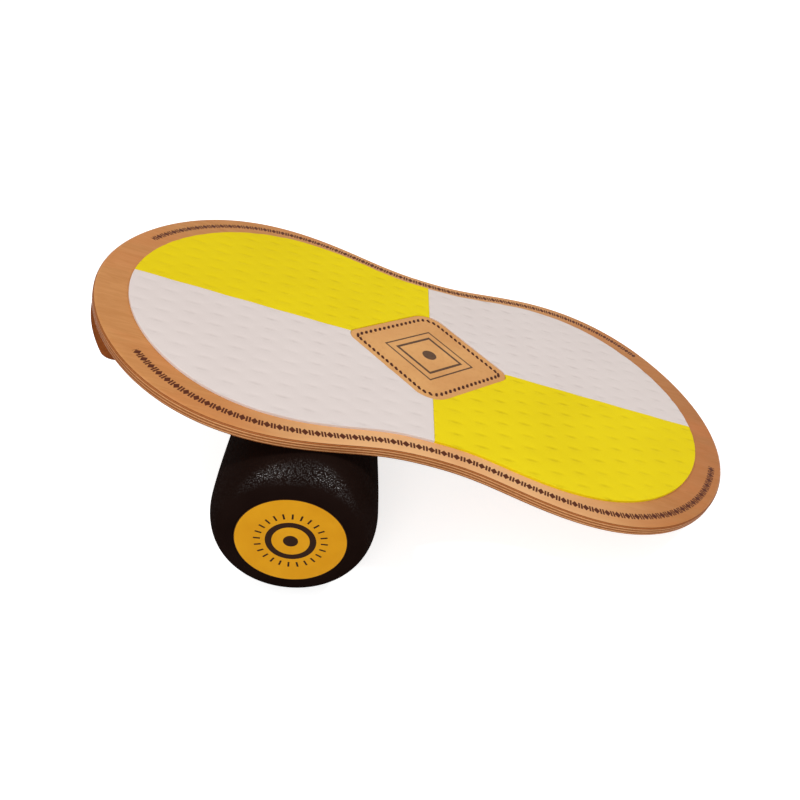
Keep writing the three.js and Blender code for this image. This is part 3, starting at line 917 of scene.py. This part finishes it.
def holed_face(outline, holes):
    """Triangles of a flat face with round openings, over the points of all its loops."""
    loops = [outline, *holes]
    flat, edges = [], []
    for loop in loops:
        start = len(flat)
        flat += [Vector(p) for p in loop]
        edges += [(start + k, start + (k + 1) % len(loop)) for k in range(len(loop))]
    out = delaunay_2d_cdt(flat, edges, [], 1, 1e-7)
    corners = np.array([tuple(v) for v in out[0]])
    faces = []
    for face in out[2]:
        middle = corners[list(face)].mean(0)[None]
        if not any(inside_loop(middle, hole)[0] for hole in holes):
            faces.append(tuple(face))
    assert len(corners) == len(flat)
    return faces


def make_stop(name, side, node, finish):
    """A bar bent along the rim, with a rounded lower edge and countersunk screw bores."""
    sides = BORE_SIDES
    outline = stop_loop()
    spread = stop_angle(SCREW_SPREAD / 2)
    places = [stop_line(a)[0] for a in (-spread, 0, spread)]
    depth = SEAT + STOP_HEIGHT
    mouth, bore = SCREW_HEAD + BORE_GAP, SCREW_SHANK + BORE_GAP
    cone = STOP_ROUND - depth
    rows = []
    for k in range(STOP_ROUND_STEPS + 1):
        angle = math.pi / 2 * k / STOP_ROUND_STEPS
        height = STOP_ROUND * (1 - math.cos(angle)) - depth
        rows.append((height, STOP_ROUND * (1 - math.sin(angle)), mouth))
    rows += [(cone + SCREW_CONE, 0.0, bore), (-SEAT - BORE_BEVEL, 0.0, bore),
             (-SEAT, BORE_BEVEL, bore)]
    size = len(outline)
    ring = size + sides * len(places)
    points, faces = [], []
    for height, inset, hole in rows:
        loops = [inset_loop(outline, inset), *[circle(p, hole, sides) for p in places]]
        points.append(np.column_stack([np.vstack(loops), np.full(ring, height)]))
    starts = [(0, size)] + [(size + k * sides, sides) for k in range(len(places))]
    for row in range(len(rows) - 1):
        for first, count in starts:
            for step in range(count):
                after = (step + 1) % count
                a, b = row * ring + first, (row + 1) * ring + first
                face = (a + step, a + after, b + after, b + step)
                faces.append(face if first == 0 else face[::-1])
    for row, upward in ((0, False), (len(rows) - 1, True)):
        height, inset, hole = rows[row]
        cap = holed_face(inset_loop(outline, inset), [circle(p, hole, sides) for p in places])
        for face in cap:
            face = tuple(row * ring + k for k in face)
            faces.append(face if upward else face[::-1])
    points = np.vstack(points)
    points[:, :2] *= side
    stop = new_object(name, points, faces, DECK)
    stop.data.materials.append(finish)
    sharpen(stop, 35)
    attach(stop, "deck")
    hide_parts(node)
    return [p * side for p in places]


def sharpen(obj, degrees):
    """Edges steeper than an angle are shown sharp."""
    obj.data.set_sharp_from_angle(angle=math.radians(degrees))


def cross_loop(w, r):
    """A cross whose arms are 2 w wide and reach r from its middle."""
    return np.array([(r, -w), (r, w), (w, w), (w, r), (-w, r), (-w, w),
                     (-r, w), (-r, -w), (-w, -w), (-w, -r), (w, -r), (w, -w)])


def make_screw(name, node, at, finish):
    """A countersunk screw, head down, with a cross recess for the driver."""
    sides = SCREW_SIDES
    base = SCREW_SINK - SEAT - STOP_HEIGHT
    head_top = STOP_ROUND - SCREW_SINK
    profile = [(SCREW_HEAD - SCREW_EDGE, 0.0), (SCREW_HEAD, SCREW_EDGE),
               (SCREW_HEAD, head_top - BORE_GAP),
               (SCREW_SHANK, head_top - BORE_GAP + SCREW_CONE),
               (SCREW_SHANK, SCREW_LENGTH - SCREW_TIP), (SCREW_POINT, SCREW_LENGTH)]
    rings = [np.column_stack([circle((0, 0), r, sides), np.full(sides, h)]) for r, h in profile]
    faces = bands(rings)
    points = np.vstack(rings)
    top = (len(rings) - 1) * sides
    faces.append(tuple(top + k for k in range(sides)))
    recess, deep = cross_loop(*CROSS_MOUTH), cross_loop(*CROSS_FLOOR)
    turns = len(recess)
    cap = holed_face(rings[0][:, :2], [recess])
    start = len(points)
    floor = start + turns
    points = np.vstack([points, np.column_stack([recess, np.zeros(turns)]),
                        np.column_stack([deep, np.full(turns, CROSS_DEPTH)])])
    for face in cap:
        moved = tuple(k if k < sides else start + k - sides for k in face)
        faces.append(moved[::-1])
    for step in range(turns):
        after = (step + 1) % turns
        faces.append((floor + step, floor + after, start + after, start + step))
    faces.append(tuple(floor + k for k in reversed(range(turns))))
    points = points + (at[0], at[1], base)
    screw = new_object(name, points, faces, DECK)
    screw.data.materials.append(finish)
    sharpen(screw, 30)
    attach(screw, "deck")
    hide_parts(node)


# Roller

def roller_radius(from_end):
    """The roller's radius at a distance from its end: a rounded end, then the taper."""
    if from_end < ROLLER_END:
        left = 1 - from_end / ROLLER_END
        return ROLLER_FACE + (ROLLER_RADIUS - ROLLER_FACE) * math.sqrt(1 - left * left)
    share = min((from_end - ROLLER_END) / ROLLER_TAPER, 1)
    return ROLLER_WAIST + (ROLLER_RADIUS - ROLLER_WAIST) * (1 + math.cos(share * math.pi)) / 2


def make_roller(finish):
    """The bone-shaped moulding, sunk at each end for its label."""
    half = ROLLER_LENGTH / 2
    turns = range(0, 90, ROLLER_END_STEP)
    stations = [ROLLER_END * (1 - math.cos(math.radians(a))) for a in turns]
    stations += list(np.linspace(ROLLER_END, half, ROLLER_SIDE_STATIONS))
    seat = LABEL_RADIUS + BORE_GAP
    sink = LABEL_THICKNESS + SEAT
    near = [(0.0, sink - half), (seat, sink - half), (seat, LABEL_LIP - half),
            (seat + LABEL_LIP, -half)]
    side = [(roller_radius(d), d - half) for d in stations]
    profile = near + side + [(r, -h) for r, h in reversed(near + side[:-1])]
    roller = lathe("roller_moulding", profile)
    roller.data.materials.append(finish)
    sharpen(roller, 40)
    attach(roller, "roller")
    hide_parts("roller_shell")


def make_label(name, node, side, finish):
    half = ROLLER_LENGTH / 2
    profile = [(0.0, half - LABEL_THICKNESS), (LABEL_RADIUS, half - LABEL_THICKNESS),
               (LABEL_RADIUS, half - LABEL_BEVEL), (LABEL_RADIUS - LABEL_BEVEL, half), (0.0, half)]
    if side < 0:
        profile = [(r, -h) for r, h in reversed(profile)]
    label = lathe(name, profile)
    label.data.materials.append(finish)
    sharpen(label, 30)
    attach(label, "roller")
    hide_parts(node)


# Build

top_finish = veneer("board_face", srgb(208, 146, 88), srgb(190, 127, 72), print_on=True)
under_finish = veneer("board_underside", srgb(210, 152, 98), srgb(190, 130, 78))
edge_pale = edge_veneer("edge_pale", srgb(242, 178, 120), srgb(164, 98, 50), srgb(144, 84, 42))
edge_dark = edge_veneer("edge_dark", srgb(180, 108, 60), srgb(150, 86, 42), srgb(108, 56, 27))
glue = edge_veneer("glue_line", srgb(108, 52, 24), srgb(112, 58, 28), srgb(70, 34, 18))
board = make_board([under_finish, edge_pale, edge_dark, glue, top_finish])
sharpen(board, 60)
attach(board, "deck")
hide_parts(*[f"deck_ply_{k}" for k in range(1, PLIES + 1)])

make_pads({
    "yellow": foam("yellow_foam_skin", srgb(244, 220, 20), srgb(224, 197, 14), srgb(204, 178, 12)),
    "white": foam("white_foam_skin", srgb(231, 219, 214), srgb(221, 208, 203), srgb(203, 190, 185)),
})
make_patch(leather("tan_leather_skin"), thread("dark_thread"))

wood = solid_wood("stop_block", srgb(148, 80, 38), srgb(120, 62, 29))
metal = steel("screw_metal")
for label, side in (("low", 1), ("high", -1)):
    places = make_stop(f"{label}_stop_block", side, f"{label}_end_stop", wood)
    for index, place in enumerate(places):
        make_screw(f"{label}_screw_{index + 1}", f"{label}_stop_screw_{index + 1}", place, metal)

make_roller(roller_plastic("roller_skin"))
film = label_film("label_print")
make_label("near_disc", "near_label", -1, film)
make_label("far_disc", "far_label", 1, film)
frame["nodes"]["vent_plug"].material_slots[0].material = plug_plastic("plug_skin")


# Stage, lights and view

FLOOR_REACH, FLOOR_TINT, FLOOR_GLOW = 8.0, 0.82, 0.74
WORLD_LIGHT = 0.42
WHITE = (1, 1, 1, 1)
LAMP_AIM = (0, 0, 0.15)


def seen_rays(tree):
    """1 for rays that show the background: camera, glossy and transmission rays."""
    path = add_node(tree, "LightPath")
    seen = path.outputs["Is Camera Ray"]
    for kind in ("Is Glossy Ray", "Is Transmission Ray"):
        most = add_node(tree, "Math", {0: seen, 1: path.outputs[kind]}, operation="MAXIMUM")
        seen = most.outputs[0]
    return seen


def make_stage():
    """A white floor that shows a faint shadow; its glow lights nothing."""
    reach = FLOOR_REACH
    corners = [(-reach, -reach, 0), (reach, -reach, 0), (reach, reach, 0), (-reach, reach, 0)]
    floor = new_object("floor", corners, [(0, 1, 2, 3)], None, False)
    material = bpy.data.materials.new("floor_white")
    tree = fresh_tree(material)
    matt = add_node(tree, "BsdfDiffuse", {"Color": (FLOOR_TINT, FLOOR_TINT, FLOOR_TINT, 1)})
    share = add_node(tree, "Math", {0: seen_rays(tree), 1: FLOOR_GLOW}, operation="MULTIPLY")
    glow = add_node(tree, "Emission", {"Strength": share.outputs[0]})
    both = add_node(tree, "AddShader", {0: matt.outputs[0], 1: glow.outputs[0]})
    add_node(tree, "OutputMaterial", {"Surface": both.outputs[0]})
    floor.data.materials.append(material)


def make_world():
    """Soft white light from all round, before a plain white background."""
    world = bpy.data.worlds.new("studio")
    bpy.context.scene.world = world
    tree = fresh_tree(world)
    soft = add_node(tree, "Background", {"Color": WHITE, "Strength": WORLD_LIGHT})
    white = add_node(tree, "Background", {"Color": WHITE, "Strength": 1.0})
    inputs = {0: seen_rays(tree), 1: soft.outputs[0], 2: white.outputs[0]}
    both = add_node(tree, "MixShader", inputs)
    add_node(tree, "OutputWorld", {"Surface": both.outputs[0]})


def add_lamp(name, at, size, power):
    data = bpy.data.lights.new(name, "AREA")
    data.shape = "DISK"
    data.size = size
    data.energy = power
    lamp = bpy.data.objects.new(name, data)
    lamp.location = at
    lamp.rotation_euler = (Vector(LAMP_AIM) - Vector(at)).to_track_quat("-Z", "Y").to_euler()
    bpy.context.scene.collection.objects.link(lamp)


def add_camera():
    """The photograph's view, from its fitted place in the deck's frame."""
    turn = DECK.to_3x3()
    right, down = turn @ Vector(CAMERA_RIGHT), turn @ Vector(CAMERA_DOWN)
    right.normalize()
    back = right.cross(-down).normalized()
    up = back.cross(right)
    turn = Matrix((right, up, back)).transposed().to_4x4()
    data = bpy.data.cameras.new("view")
    data.lens = CAMERA_LENS
    data.sensor_width = CAMERA_FILM
    data.clip_start = CAMERA_NEAR
    camera = bpy.data.objects.new("view", data)
    camera.matrix_world = Matrix.Translation(DECK @ Vector(CAMERA_AT)) @ turn
    bpy.context.scene.collection.objects.link(camera)
    bpy.context.scene.camera = camera


make_stage()
make_world()
add_lamp("key", (-0.80, -0.45, 1.9), 0.18, 11)
add_lamp("fill", (1.25, -0.05, 1.45), 0.18, 7.5)
add_lamp("front", (-0.3, -2.0, 1.2), 1.2, 12)
add_camera()
bpy.context.scene.view_settings.view_transform = "Standard"
